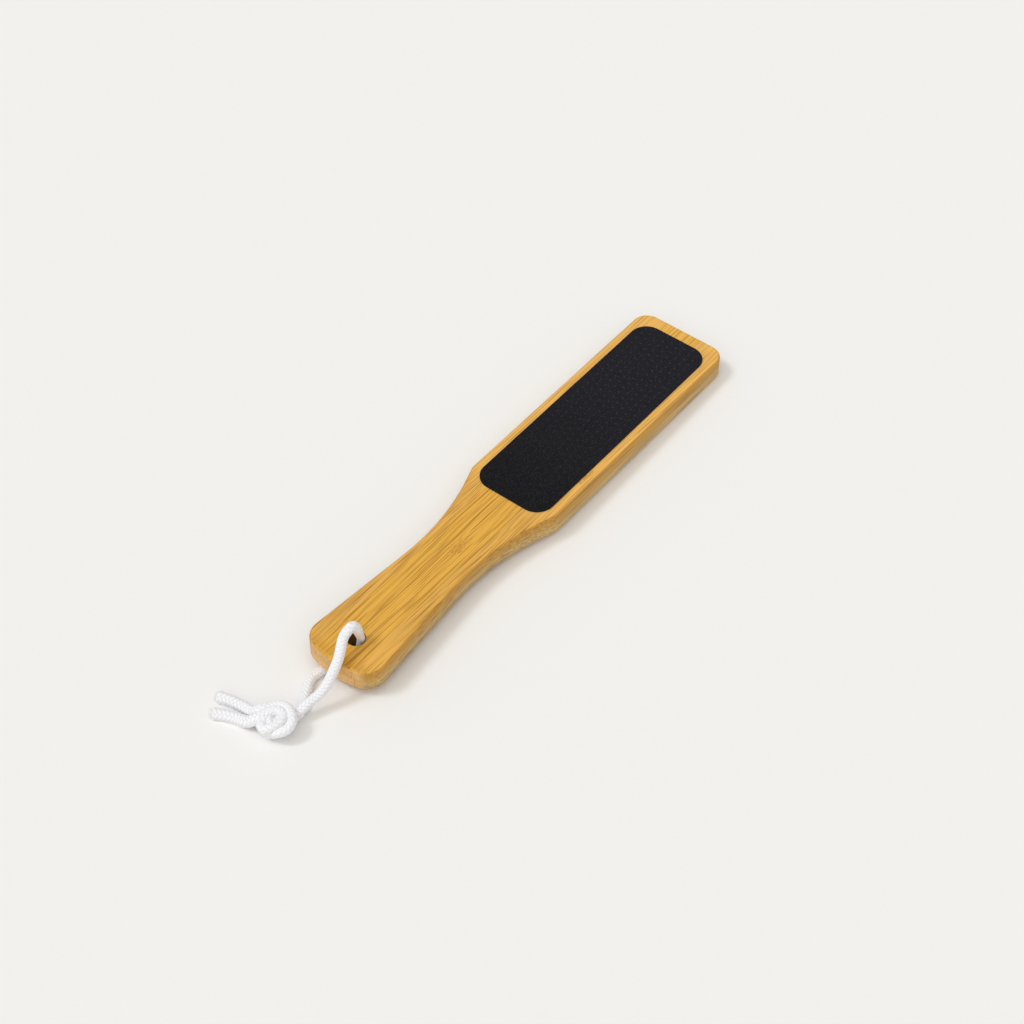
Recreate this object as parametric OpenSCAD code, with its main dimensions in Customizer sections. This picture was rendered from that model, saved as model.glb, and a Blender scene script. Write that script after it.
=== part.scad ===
// Foot file: a bamboo paddle glued up from strips, an abrasive pad stuck to its front,
// and a hanging loop of braided cord tied through a hole in the handle.
// The paddle lies on its back. Its handle end is held up by the cord that runs under it.
// Millimetres. +X runs from the handle to the blade, +Z up.

/* [Paddle] */
// Length of the paddle from handle end to blade end
paddle_len = 260; // [240:1:290]
// Width of the blade
blade_w = 49; // [47:0.5:54]
// Thickness of the bamboo board
board_t = 11.5; // [10.5:0.5:14]
// Radius of the rounding along all the edges
edge_r = 2; // [1:0.1:2.6]
// Radius of the blade's corners
blade_corner_r = 8; // [5:0.5:10]
// Distance from the handle end to the shoulder, where the blade reaches its full width
shoulder_x = 125.5; // [120:0.5:130]
// Radius of the shoulder's rounding
shoulder_r = 8; // [4:0.5:10]

/* [Handle] */
// Width of the handle at its end, before its corners are rounded
handle_end_w = 40.5; // [38:0.5:42]
// Distance from the handle end to the waist
waist_x = 91.5; // [84:0.5:96]
// Width of the handle where its two straight flanks would meet at the waist
waist_w = 26; // [24.5:0.5:30]
// Radius of the long hollow at the waist
waist_r = 134; // [80:1:150]
// Radius of the bulging handle end
end_r = 50; // [40:1:70]
// Radius of the corners at the handle end
end_corner_r = 9.5; // [6:0.5:12]

/* [Hanging hole] */
// Distance of the hole's centre from the handle end
hole_x = 15.5; // [15:0.1:16.5]
// Diameter of the hole
hole_d = 8; // [7.8:0.1:9]
// Bevel round both mouths of the hole
hole_bevel = 0.8; // [0.4:0.1:1.2]

/* [Bamboo strips] */
// Width of a strip in the front layer
front_strip_w = 20.5; // [18:0.5:21]
// Distance of the front layer's left glue line from the centre line
front_joint_y = 10.8; // [8:0.1:11]
// Width of a strip in the back layer
back_strip_w = 20.5; // [18:0.5:21]
// Distance of the back layer's left glue line from the centre line
back_joint_y = 9.7; // [8:0.1:10.5]

/* [Abrasive pad] */
// Length of the pad
pad_len = 133.5; // [120:0.5:136]
// Width of the pad
pad_w = 39.5; // [34:0.5:42]
// Radius of the pad's corners
pad_corner_r = 9; // [6:0.5:14]
// Distance from the blade end to the pad
pad_margin = 7.5; // [5:0.5:10]
// Thickness of the adhesive film
adhesive_t = 0.15; // [0.1:0.05:0.3]
// Thickness of the pad's backing cloth
backing_t = 0.35; // [0.25:0.05:0.6]
// Thickness of the grit coat
grit_t = 0.3; // [0.2:0.05:0.6]

/* [Cord] */
// Diameter of the braided cord
cord_d = 4.4; // [4:0.1:4.6]
// Height that is left for the cord where the handle presses it flat
pressed_h = 3.6; // [3.4:0.1:4]
// Clearance between the pressed cord and the handle's back
cord_clearance = 0.4; // [0.2:0.05:0.5]
// Width of the knot
knot_d = 18; // [16:0.5:20]
// Height of the knot
knot_h = 14; // [12:0.5:16]

/* [Hidden] */
$fn = 48;
// Past every face that a cut goes through
overrun = 1;
// Steps along each arc of the outline and round the edges
middle_steps = 8;
corner_steps = 8;
waist_steps = 16;
shoulder_steps = 4;
edge_steps = 4;
// Sides of the cord's tube
cord_sides = 8;
// A lying cord is cut flat by this share of its diameter
flat_share = 0.1;
lie_z = cord_d * (0.5 - flat_share);
bamboo = "#dda757";
bamboo_dark = "#d29a4e";
cord_white = "#f2f1f0";

// How the paddle lies: it turns about the rounding of the blade's lower end edge,
// so far that the pressed cord fits between the hole and the table
pivot_x = paddle_len - edge_r;
tilt = asin((pressed_h + cord_clearance) / (pivot_x - hole_x + hole_d / 2));
low_x = pivot_x * (1 - cos(tilt));
high_x = paddle_len + (board_t - 2 * edge_r) * sin(tilt);
mid_x = (low_x + high_x) / 2;

// The outline's left half: the bulging handle end, then straight lines joined by arcs.
// An arc is [centre, radius, first angle, last angle, steps, 1 if it bulges or -1 if it is hollow].
half_end = handle_end_w / 2;
half_waist = waist_w / 2;
half_blade = blade_w / 2;
function unit(v) = v / norm(v);
function left_normal(from, to) = let (d = unit(to - from)) [-d[1], d[0]];
function angle_of(v) = atan2(v[1], v[0]);
function shifted_meet(p, na, nb, s) =
    let (k = na[0] * nb[1] - na[1] * nb[0]) p + s * [nb[1] - na[1], na[0] - nb[0]] / k;
end_corner = [0, half_end];
waist_corner = [waist_x, half_waist];
shoulder_corner = [shoulder_x, half_blade];
blade_corner = [paddle_len, half_blade];
flank_n = left_normal(end_corner, waist_corner);
flare_n = left_normal(waist_corner, shoulder_corner);
side_n = [0, 1];
tip_n = [1, 0];
waist_c = shifted_meet(waist_corner, flank_n, flare_n, waist_r);
shoulder_c = shifted_meet(shoulder_corner, flare_n, side_n, -shoulder_r);
blade_c = shifted_meet(blade_corner, side_n, tip_n, -blade_corner_r);
// The end corner touches the flank and, from inside, the bulging end
end_c = [end_r, 0];
corner_line_p = end_corner - end_corner_r * flank_n;
corner_line_d = unit(waist_corner - end_corner);
corner_gap = corner_line_p - end_c;
corner_half_b = corner_gap * corner_line_d;
corner_rest = corner_gap * corner_gap - pow(end_r - end_corner_r, 2);
corner_c = corner_line_p - (corner_half_b + sqrt(pow(corner_half_b, 2) - corner_rest)) * corner_line_d;
arcs = [
    [corner_c, end_corner_r, angle_of(corner_c - end_c), angle_of(flank_n), corner_steps, 1],
    [waist_c, waist_r, angle_of(-flank_n), angle_of(-flare_n), waist_steps, -1],
    [shoulder_c, shoulder_r, angle_of(flare_n), angle_of(side_n), shoulder_steps, 1],
    [blade_c, blade_corner_r, angle_of(side_n), angle_of(tip_n), corner_steps, 1]
];
function arc_points(arc, inset) = [
    for (i = [0:arc[4]])
        let (a = arc[2] + (arc[3] - arc[2]) * i / arc[4])
            arc[0] + (arc[1] - arc[5] * inset) * [cos(a), sin(a)]
];
// From the corner at the handle end round to the blade end
function side_outline(inset) = [for (arc = arcs) each arc_points(arc, inset)];
function end_point(y, inset) = [end_r - sqrt(pow(end_r - inset, 2) - y * y), y];

// Plans of the strips at an inset from the board's outline, clockwise seen from above.
// A side strip runs from a glue line out to the edge, on the left of the centre line. It has
// a point on the glue line opposite each point of its edge, so that the hollow waist can be
// closed by narrow triangles across the strip.
function side_plan(joint_y, inset) =
    let (edge = side_outline(inset))
        concat([end_point(joint_y, inset)], edge, [for (i = [len(edge) - 1:-1:0]) [edge[i][0], joint_y]]);
side_points = 2 * len(side_outline(0)) + 1;
side_cap = concat(
    [[0, 1, side_points - 1]],
    [
        for (i = [1:len(side_outline(0)) - 1])
            each [[i, i + 1, side_points - 1 - i], [i, side_points - 1 - i, side_points - i]]
    ]
);
function turned(faces) = [for (f = faces) [for (i = [2:-1:0]) side_points - 1 - f[i]]];
function middle_plan(low_y, high_y, inset) =
    concat(
        [for (i = [0:middle_steps]) end_point(low_y + (high_y - low_y) * i / middle_steps, inset)],
        [[paddle_len - inset, high_y], [paddle_len - inset, low_y]]
    );
function mirrored(plan) = [for (i = [len(plan) - 1:-1:0]) [plan[i][0], -plan[i][1]]];

// Heights and insets of a layer's rings, from below to above. The back layer is rounded
// below and the front layer above.
back_rings = concat(
    [for (i = [0:edge_steps]) let (a = 90 * i / edge_steps) [edge_r * (1 - cos(a)), edge_r * (1 - sin(a))]],
    [[board_t / 2, 0]]
);
front_rings = [for (i = [len(back_rings) - 1:-1:0]) [board_t - back_rings[i][0], back_rings[i][1]]];

// The wall of a solid through rings that have the same number of points.
// Seen from beyond the last ring, the rings run clockwise.
function ring_wall(rings, n) = [
    for (i = [0:rings - 2], j = [0:n - 1])
        let (a = i * n + j, b = i * n + (j + 1) % n)
            each [[a, b, b + n], [a, b + n, a + n]]
];
// cap lists the faces that close the last ring, clockwise seen from above
module strip(plans, rings, cap) {
    n = len(plans[0]);
    last = (len(rings) - 1) * n;
    points = [for (i = [0:len(rings) - 1], p = plans[i]) [p[0], p[1], rings[i][0]]];
    below = [for (f = cap) [for (i = [len(f) - 1:-1:0]) f[i]]];
    above = [for (f = cap) [for (i = f) last + i]];
    polyhedron(points = points, faces = concat(below, above, ring_wall(len(rings), n)));
}
module hole() {
    translate([hole_x, 0, -overrun])
        cylinder(d = hole_d, h = board_t + 2 * overrun);
    translate([hole_x, 0, -overrun])
        cylinder(d1 = hole_d + 2 * (hole_bevel + overrun), d2 = hole_d, h = hole_bevel + overrun);
    translate([hole_x, 0, board_t - hole_bevel])
        cylinder(d1 = hole_d, d2 = hole_d + 2 * (hole_bevel + overrun), h = hole_bevel + overrun);
}
// Puts a piece of the paddle where the lying paddle has it
module as_it_lies() {
    translate([pivot_x - mid_x, 0, edge_r])
        rotate([0, tilt, 0])
            translate([-pivot_x, 0, -edge_r])
                children();
}

module left_strip(joint_y, rings) {
    strip([for (ring = rings) side_plan(joint_y, ring[1])], rings, side_cap);
}
module right_strip(joint_y, rings) {
    strip([for (ring = rings) mirrored(side_plan(-joint_y, ring[1]))], rings, turned(side_cap));
}
module middle_strip(low_y, high_y, rings) {
    plans = [for (ring = rings) middle_plan(low_y, high_y, ring[1])];
    difference() {
        strip(plans, rings, [[for (j = [0:len(plans[0]) - 1]) j]]);
        hole();
    }
}
front_low_y = front_joint_y - front_strip_w;
back_low_y = back_joint_y - back_strip_w;

module front_strip_left() {
    color(bamboo)
        as_it_lies() left_strip(front_joint_y, front_rings);
}
module front_strip_middle() {
    color(bamboo)
        as_it_lies() middle_strip(front_low_y, front_joint_y, front_rings);
}
module front_strip_right() {
    color(bamboo)
        as_it_lies() right_strip(front_low_y, front_rings);
}
module back_strip_left() {
    color(bamboo)
        as_it_lies() left_strip(back_joint_y, back_rings);
}
module back_strip_middle() {
    color(bamboo)
        as_it_lies() middle_strip(back_low_y, back_joint_y, back_rings);
}
module back_strip_right() {
    color(bamboo_dark)
        as_it_lies() right_strip(back_low_y, back_rings);
}

// The pad's outline: a rectangle with round corners
module pad_outline() {
    inner_len = pad_len - 2 * pad_corner_r;
    inner_w = pad_w - 2 * pad_corner_r;
    square([pad_len, inner_w], center = true);
    square([inner_len, pad_w], center = true);
    for (x = [-inner_len / 2, inner_len / 2], y = [-inner_w / 2, inner_w / 2])
        translate([x, y])
            circle(r = pad_corner_r);
}
// One layer of the pad, from a height above the board's front
module pad_layer(height, thickness) {
    as_it_lies()
        translate([paddle_len - pad_margin - pad_len / 2, 0, board_t + height])
            linear_extrude(thickness)
                pad_outline();
}
module pad_adhesive_film() {
    color("#b9b2a4")
        pad_layer(0, adhesive_t);
}
module pad_backing_cloth() {
    color("#1b1a1d")
        pad_layer(adhesive_t, backing_t);
}
module pad_grit_coat() {
    color("#26242a")
        pad_layer(adhesive_t + backing_t, grit_t);
}

// The cord is one piece that both runs start from inside the hole. The points below are
// its route, measured from the handle end, the centre line and the table.
over_route = [
    [16.5, -0.5, 9.5], [16.5, -0.5, 13], [16, -1, 17], [15, -1.5, 22], [12.5, -1, 26], [8.5, -1, 25.5],
    [3.5, -3, 22], [-2.5, -4.5, 18], [-8.5, -5, 13], [-14, -4.5, 9], [-20, -3.5, 7], [-25.5, -3, 6.5], [-29.5, -0.5, 6.5]
];
under_route = [
    [16.5, -0.5, 9.5], [16.5, -0.5, 7.5], [16, -0.5, 5], [14, 1, 2.5], [11, 2.5, lie_z], [6, 5, lie_z],
    [0.5, 6.5, lie_z], [-5.5, 7, lie_z], [-11, 5.5, lie_z], [-16, 3, lie_z], [-21.5, 0, lie_z], [-26.5, -1.5, lie_z],
    [-30.5, 0.5, lie_z]
];
upper_tail_route = [[-33, 11, 7], [-34.5, 15, 3], [-34.5, 20, lie_z], [-35.5, 26, lie_z], [-37.5, 33, lie_z]];
lower_tail_route = [[-37, 9, 7], [-40, 13, 3.5], [-40.5, 17.5, lie_z], [-42.5, 23, lie_z], [-45.5, 28.5, lie_z]];

// The knot is one pressed lump: a flattened ball with the ridges of the turns that lie round it
knot_centre = [-34, 2.5, knot_h / 2 - flat_share * cord_d];
ridges = 3;
ridge_share = 0.06;
ridge_slant = 2;
knot_step = 15;
function knot_skin(around, up) =
    let (swell = 1 + ridge_share * cos(ridges * around - ridge_slant * up))
        [knot_d / 2 * swell * cos(up) * cos(around), knot_d / 2 * swell * cos(up) * sin(around),
            knot_h / 2 * swell * sin(up)];
function lie_flat(p) = [p[0], p[1], max(0, p[2])];
knot_skin_rings = [
    for (up = [knot_step - 90:knot_step:90 - knot_step])
        [for (around = [0:knot_step:360 - knot_step]) lie_flat(knot_centre + knot_skin(around, up))]
];

// A tube through a route's points. Each ring stands square to the route there, turned as
// little as possible from the ring before it.
function tangent(run, i) = unit(run[min(i + 1, len(run) - 1)] - run[max(i - 1, 0)]);
function square_to(v, t) = unit(v - (v * t) * t);
function ring_sides(run, i = 0, before = [0, 1, 0]) =
    i >= len(run) ? [] :
    let (side = square_to(before, tangent(run, i)))
        concat([side], ring_sides(run, i + 1, side));
// A cord under the handle is pressed flat, and a lying cord is flat below
function settle(p, centre) =
    [p[0], p[1], max(0, centre[0] > -cord_d && centre[2] < cord_d ? min(p[2], pressed_h) : p[2])];
function tube_rings(run) =
    let (sides = ring_sides(run))
        [for (i = [0:len(run) - 1])
            let (u = sides[i], v = cross(tangent(run, i), u))
                [for (j = [cord_sides - 1:-1:0])
                    let (a = 360 * (j + 0.5) / cord_sides)
                        settle(run[i] + cord_d / 2 * (cos(a) * u + sin(a) * v), run[i])]];
function middle(ring) = [for (k = [0:2]) [for (p = ring) p[k]] * [for (p = ring) 1 / len(ring)]];
// A soft solid through rings, with a fan of faces at either end
module soft_solid(rings) {
    n = len(rings[0]);
    end = (len(rings) - 1) * n;
    points = concat([for (ring = rings) each ring], [middle(rings[0]), middle(rings[len(rings) - 1])]);
    caps = [for (j = [0:n - 1]) each [[end + n, (j + 1) % n, j], [end + n + 1, end + j, end + (j + 1) % n]]];
    color(cord_white)
        translate([-mid_x, 0, 0])
            polyhedron(points = points, faces = concat(caps, ring_wall(len(rings), n)));
}

module cord_over_handle() {
    soft_solid(tube_rings(over_route));
}
module cord_under_handle() {
    soft_solid(tube_rings(under_route));
}
module cord_knot() {
    soft_solid([for (ring = knot_skin_rings) [for (j = [len(ring) - 1:-1:0]) ring[j]]]);
}
module cord_tail_upper() {
    soft_solid(tube_rings(upper_tail_route));
}
module cord_tail_lower() {
    soft_solid(tube_rings(lower_tail_route));
}

front_strip_left();
front_strip_middle();
front_strip_right();
back_strip_left();
back_strip_middle();
back_strip_right();
pad_adhesive_film();
pad_backing_cloth();
pad_grit_coat();
cord_over_handle();
cord_under_handle();
cord_knot();
cord_tail_upper();
cord_tail_lower();
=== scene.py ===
import math

import bpy
import numpy as np
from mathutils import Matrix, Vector
from mathutils.geometry import tessellate_polygon


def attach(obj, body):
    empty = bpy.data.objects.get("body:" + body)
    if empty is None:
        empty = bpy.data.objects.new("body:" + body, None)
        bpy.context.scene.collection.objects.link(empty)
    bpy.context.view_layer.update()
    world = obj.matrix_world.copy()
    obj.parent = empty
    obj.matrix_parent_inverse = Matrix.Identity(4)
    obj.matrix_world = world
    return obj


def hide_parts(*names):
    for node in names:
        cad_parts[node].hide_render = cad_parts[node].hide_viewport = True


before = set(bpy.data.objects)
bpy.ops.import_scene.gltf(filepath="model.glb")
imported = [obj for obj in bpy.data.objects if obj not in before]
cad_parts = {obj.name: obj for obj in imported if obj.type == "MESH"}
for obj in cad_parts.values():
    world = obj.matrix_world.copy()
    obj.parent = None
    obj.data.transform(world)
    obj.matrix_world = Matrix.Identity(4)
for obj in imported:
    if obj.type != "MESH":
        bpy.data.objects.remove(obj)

bl_info = {
    "name": "Foot file",
    "version": (1, 0, 0),
    "blender": (4, 5, 0),
    "location": "3D View > Sidebar > Foot file",
    "description": "Dresses a packed foot file: bamboo strips, grit pad, braided cord and a studio",
    "category": "Add Mesh",
}

MM = 0.001
PHOTO_PIXELS = 1024
SENSOR_MM = 36


def linear(hex_colour):
    """An sRGB hex colour as linear red, green and blue."""
    srgb = np.array([int(hex_colour[i:i + 2], 16) for i in (1, 3, 5)]) / 255
    low, high = srgb / 12.92, ((srgb + 0.055) / 1.055) ** 2.4
    return tuple(float(c) for c in np.where(srgb <= 0.04045, low, high))


def length(name, description, millimetres):
    """A size that the user can change, in metres."""
    return bpy.props.FloatProperty(
        name=name, description=description, default=millimetres * MM, unit="LENGTH", precision=5
    )


def colour(name, description, hex_colour):
    """A colour that the user can change, given as an sRGB hex value."""
    return bpy.props.FloatVectorProperty(
        name=name, description=description, default=linear(hex_colour), subtype="COLOR", min=0, max=1
    )


def angle(name, description, degrees):
    """An angle that the user can change, given in degrees."""
    return bpy.props.FloatProperty(
        name=name, description=description, default=math.radians(degrees), subtype="ANGLE"
    )


def number(name, description, value, **limits):
    """A share or another plain number that the user can change."""
    return bpy.props.FloatProperty(name=name, description=description, default=value, **limits)


def position(name, description, metres):
    """A place that the user can change."""
    return bpy.props.FloatVectorProperty(
        name=name, description=description, default=metres, subtype="XYZ", unit="LENGTH"
    )


def ease(share):
    """A share from 0 to 1 made to start and end softly: three times its square less twice its cube."""
    return share * share * (3 - 2 * share)


class PaddleSettings(bpy.types.PropertyGroup):
    """The bamboo paddle's sizes and colours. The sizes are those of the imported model, but for the edge
    radius, which is smaller here."""

    paddle_length: length("Length", "From the handle end to the blade end", 260)
    blade_width: length("Blade width", "Width of the blade", 49)
    thickness: length("Thickness", "Thickness of the board", 11.5)
    edge_radius: length("Edge radius", "Rounding along all the edges", 1.4)
    blade_corner: length("Blade corner", "Radius of the blade's corners", 8)
    shoulder_at: length("Shoulder at", "From the handle end to the shoulder", 125.5)
    shoulder_radius: length("Shoulder radius", "Rounding of the shoulder", 8)
    handle_end_width: length("Handle end width", "Before its corners are rounded", 40.5)
    waist_at: length("Waist at", "From the handle end to the waist", 91.5)
    waist_width: length("Waist width", "Where the flanks would meet at the waist", 26)
    waist_radius: length("Waist radius", "Radius of the long hollow at the waist", 134)
    end_radius: length("End radius", "Radius of the bulging handle end", 50)
    end_corner: length("End corner", "Radius of the corners at the handle end", 9.5)
    hole_at: length("Hole at", "From the handle end to the hanging hole", 15.5)
    hole_diameter: length("Hole diameter", "Diameter of the hanging hole", 8)
    hole_rounding: length("Hole rounding", "Rounding of the hole's mouths", 0.8)
    front_glue_line: length("Front glue line", "Left glue line of the front layer from the centre line", 10.8)
    front_strip: length("Front strip", "Width of the front layer's middle strip", 20.5)
    back_glue_line: length("Back glue line", "Left glue line of the back layer from the centre line", 9.7)
    back_strip: length("Back strip", "Width of the back layer's middle strip", 20.5)
    front_bamboo: colour("Front bamboo", "Colour of the front layer's middle strip", "#DDA640")
    side_bamboo: colour("Side bamboo", "Colour of the front layer's side strips", "#DDA74B")
    back_bamboo: colour("Back bamboo", "Colour of the paler back layer", "#E4B46A")
    end_grain: colour("End grain", "Colour where the fibres are cut across", "#E0B274")
    fibre: colour("Fibre", "Colour of the fibre bundles", "#96600F")
    knuckle: colour("Knuckle", "Colour of the mottled patches where the cane had a knuckle", "#BD7D2C")


class PadSettings(bpy.types.PropertyGroup):
    """The abrasive pad's sizes and colours."""

    pad_length: length("Length", "Length of the pad", 133.5)
    pad_width: length("Width", "Width of the pad", 39.5)
    corner: length("Corner", "Radius of the pad's corners", 9)
    margin: length("Margin", "From the blade end to the pad", 7.5)
    top: length("Top", "Height of the dots' tops above the board", 0.8)
    coat: length("Coat", "Thickness of the grit coat with its dots", 0.3)
    dot_pitch: length("Dot pitch", "Distance between the dots of a row", 3.94)
    row_pitch: length("Row pitch", "Distance between the rows", 3.8)
    dot_width: length("Dot width", "Width of a raised dot", 1.0)
    dot_height: length("Dot height", "Height of a raised dot over the coat", 0.13)
    grit: colour("Grit", "Colour of the grit coat", "#13121A")
    # Painted glint: the colour of the few grains that are painted as if catching the light
    painted_glint: colour("Spark", "Colour of the grains that catch the light", "#46444E")
    # Painted highlight: the dots are coloured lighter than the coat, as their tops catch the light
    dot: colour("Dot", "Colour of the raised dots", "#2E2C35")
    cloth: colour("Cloth", "Colour of the backing cloth's cut edge", "#161517")
    glue: colour("Glue", "Colour of the adhesive film", "#8B8678")


class CordSettings(bpy.types.PropertyGroup):
    """The braided cord's sizes and colours."""

    diameter: length("Diameter", "Diameter of the cord", 4.4)
    pressed: length("Pressed height", "Height of the cord where the handle lies on it", 3.6)
    stitch: length("Stitch", "Distance between the braid's stitches along the cord", 1.9)
    relief: length("Relief", "Depth of the furrows between the stitches", 0.31)
    columns: bpy.props.IntProperty(
        name="Columns", description="Columns of stitches round the cord, an even number", default=6, min=4
    )
    swell: number(
        "Swell", "Thickness of the loose tails as a share of the diameter", 1.18, min=1, max=1.4,
        subtype="FACTOR",
    )
    knot_squeeze: number(
        "Knot squeeze", "Thickness of the cord in the knot as a share of its diameter", 0.98, min=0.5, max=1,
        subtype="FACTOR",
    )
    white: colour("White", "Colour of the polyester yarn", "#F5F5F8")
    # Painted shade: the colour put into the furrows between the stitches
    painted_furrow_shade: colour("Furrow", "Colour of the furrows between the stitches", "#D9D8DE")


class StudioSettings(bpy.types.PropertyGroup):
    """The camera, the table and the light."""

    focal: number("Focal length", "In pixels of the photograph", 2246.7, min=100)
    camera: position("Camera", "Place of the camera", (-0.5431, -0.4194, 0.7697))
    target: position("Target", "Where the camera looks", (-0.0060, 0.0002, 0.0))
    table: colour("Table", "Colour of the table top", "#F2F1F0")
    sky: number("Room light", "Share of the light that comes from all round", 0.515, min=0)
    fill: number(
        "Fill light", "Share of the light that comes back from the wall behind the camera", 0.30, min=0
    )
    fill_azimuth: angle("Fill azimuth", "Direction of the fill light on the table", -160)
    fill_height: angle("Fill height", "Angle of the fill light above the table", 62)
    fill_spread: angle("Fill spread", "How wide the bright wall looks from the table", 80)
    key: number(
        "Window light", "Share of the light on the table that comes from the window", 0.19, min=0
    )
    key_azimuth: angle("Window azimuth", "Direction of the window, from +X towards +Y", 133)
    key_height: angle("Window height", "Angle of the window's light above the table", 56)
    key_spread: angle("Window spread", "How wide the window looks from the table", 15)


# Meshes


def new_mesh_object(name, points, faces, smooth_below=None):
    """A mesh object at the origin. points are in metres, in the row frame."""
    mesh = bpy.data.meshes.new(name)
    mesh.from_pydata(np.asarray(points, float).tolist(), [], faces)
    mesh.validate()
    if smooth_below is not None:
        mesh.polygons.foreach_set("use_smooth", np.ones(len(mesh.polygons), bool))
        mesh.set_sharp_from_angle(angle=math.radians(smooth_below))
    mesh.update()
    obj = bpy.data.objects.new(name, mesh)
    bpy.context.scene.collection.objects.link(obj)
    return obj


def grid_faces(rings, count, first=0, closed=True):
    """Quads between neighbouring rings of count points each. Seen from beyond the last ring, the rings
    run clockwise."""
    last = count if closed else count - 1
    i, j = np.meshgrid(np.arange(rings - 1), np.arange(last), indexing="ij")
    a, b = first + i * count + j, first + i * count + (j + 1) % count
    return np.stack([a, a + count, b + count, b], axis=-1).reshape(-1, 4)[:, ::-1].tolist()


def weighted_normals(obj):
    """Large flat faces keep their own normal, so that the roundings beside them don't shade them."""
    modifier = obj.modifiers.new("even shading", "WEIGHTED_NORMAL")
    modifier.keep_sharp = True
    modifier.weight = 100


# The board's shape, in millimetres, lying flat with its back at height zero


def line_normal(start, end):
    """The unit vector to the left of a line."""
    d = (end - start) / np.linalg.norm(end - start)
    return np.array([-d[1], d[0]])


def centre_by(corner, normal_a, normal_b, distance):
    """Where two lines through a corner meet after both are shifted sideways by a distance."""
    k = normal_a[0] * normal_b[1] - normal_a[1] * normal_b[0]
    return corner + distance * np.array([normal_b[1] - normal_a[1], normal_a[0] - normal_b[0]]) / k


def side_arcs(s):
    """The left half of the outline as arcs: centre, radius, first angle, last angle, steps, bulge sign.

    Straight flanks run from the handle end to the waist and from there to the shoulder; each corner
    between two lines is rounded by an arc that touches both, and the first arc also touches the
    bulging handle end from inside."""
    mm = lambda name: getattr(s, name) / MM
    end, waist = np.array([0, mm("handle_end_width") / 2]), np.array([mm("waist_at"), mm("waist_width") / 2])
    shoulder = np.array([mm("shoulder_at"), mm("blade_width") / 2])
    blade = np.array([mm("paddle_length"), mm("blade_width") / 2])
    flank, flare = line_normal(end, waist), line_normal(waist, shoulder)
    side, tip = np.array([0.0, 1.0]), np.array([1.0, 0.0])
    waist_c = centre_by(waist, flank, flare, mm("waist_radius"))
    shoulder_c = centre_by(shoulder, flare, side, -mm("shoulder_radius"))
    blade_c = centre_by(blade, side, tip, -mm("blade_corner"))
    end_c, corner_r = np.array([mm("end_radius"), 0]), mm("end_corner")
    along, start = np.array([flank[1], -flank[0]]), end - corner_r * flank
    gap = start - end_c
    half_b = gap @ along
    reach = math.sqrt(half_b**2 - gap @ gap + (mm("end_radius") - corner_r) ** 2)
    corner_c = start - (half_b + reach) * along
    heading = lambda v: math.atan2(v[1], v[0])
    return [
        (corner_c, corner_r, heading(corner_c - end_c), heading(flank), 20, 1),
        (waist_c, mm("waist_radius"), heading(-flank), heading(-flare), 40, -1),
        (shoulder_c, mm("shoulder_radius"), heading(flare), heading(side), 10, 1),
        (blade_c, mm("blade_corner"), heading(side), heading(tip), 20, 1),
    ]


def end_points(s, y, inset):
    """Points of the bulging handle end at distances y from the centre line."""
    r = s.end_radius / MM
    return np.stack([r - np.sqrt((r - inset) ** 2 - y**2), y], axis=1)


def side_plan(s, joint, inset):
    """A left strip's plan at an inset from the outline, clockwise: glue line, outline, blade end."""
    arcs = []
    for centre, r, first, last, steps, bulge in side_arcs(s):
        a = np.linspace(first, last, steps + 1)
        arcs.append(centre + (r - bulge * inset) * np.stack([np.cos(a), np.sin(a)], axis=1))
    tip = np.array([[s.paddle_length / MM - inset, joint]])
    return np.concatenate([end_points(s, np.array([joint]), inset), *arcs, tip])


def middle_plan(s, low, high, inset):
    """The middle strip's plan at an inset, clockwise: handle end from low to high, then the blade end."""
    x, across = s.paddle_length / MM - inset, 17
    return np.concatenate([end_points(s, np.linspace(low, high, across), inset), [[x, high], [x, low]]])


def layer_rings(s, front):
    """Heights and insets of a layer's rings, upwards: a quarter round at its outer face, square at the glue.

    A quarter round has height r (1 - cos a) and inset r (1 - sin a)."""
    r, t, steps = s.edge_radius / MM, s.thickness / MM, 10
    a = np.linspace(0, math.pi / 2, steps)
    rings = np.concatenate([np.stack([r * (1 - np.cos(a)), r * (1 - np.sin(a))], axis=1), [[t / 2, 0]]])
    return np.stack([t - rings[::-1, 0], rings[::-1, 1]], axis=1) if front else rings


# Left between the pressed cord and the handle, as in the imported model
CORD_CLEARANCE = 0.4


def tilt_of(s, cord):
    """How far the paddle leans, as its handle end lies on the pressed cord, the x of the line that it
    turns about, and the x of its middle as it lies."""
    pivot = (s.paddle_length - s.edge_radius) / MM
    tilt = math.asin((cord.pressed / MM + CORD_CLEARANCE) / (pivot - (s.hole_at - s.hole_diameter / 2) / MM))
    low = pivot * (1 - math.cos(tilt))
    high = s.paddle_length / MM + (s.thickness - 2 * s.edge_radius) / MM * math.sin(tilt)
    return tilt, pivot, (low + high) / 2


def as_it_lies(s, cord, points):
    """Points of the flat board, in millimetres, where the lying paddle has them, in metres.

    The board turns about the rounding of the blade's lower end edge."""
    tilt, pivot, mid = tilt_of(s, cord)
    r = s.edge_radius / MM
    x, z = points[:, 0] - pivot, points[:, 2] - r
    return np.stack([
        x * math.cos(tilt) + z * math.sin(tilt) + pivot - mid,
        points[:, 1],
        -x * math.sin(tilt) + z * math.cos(tilt) + r,
    ], axis=1) * MM


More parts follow.
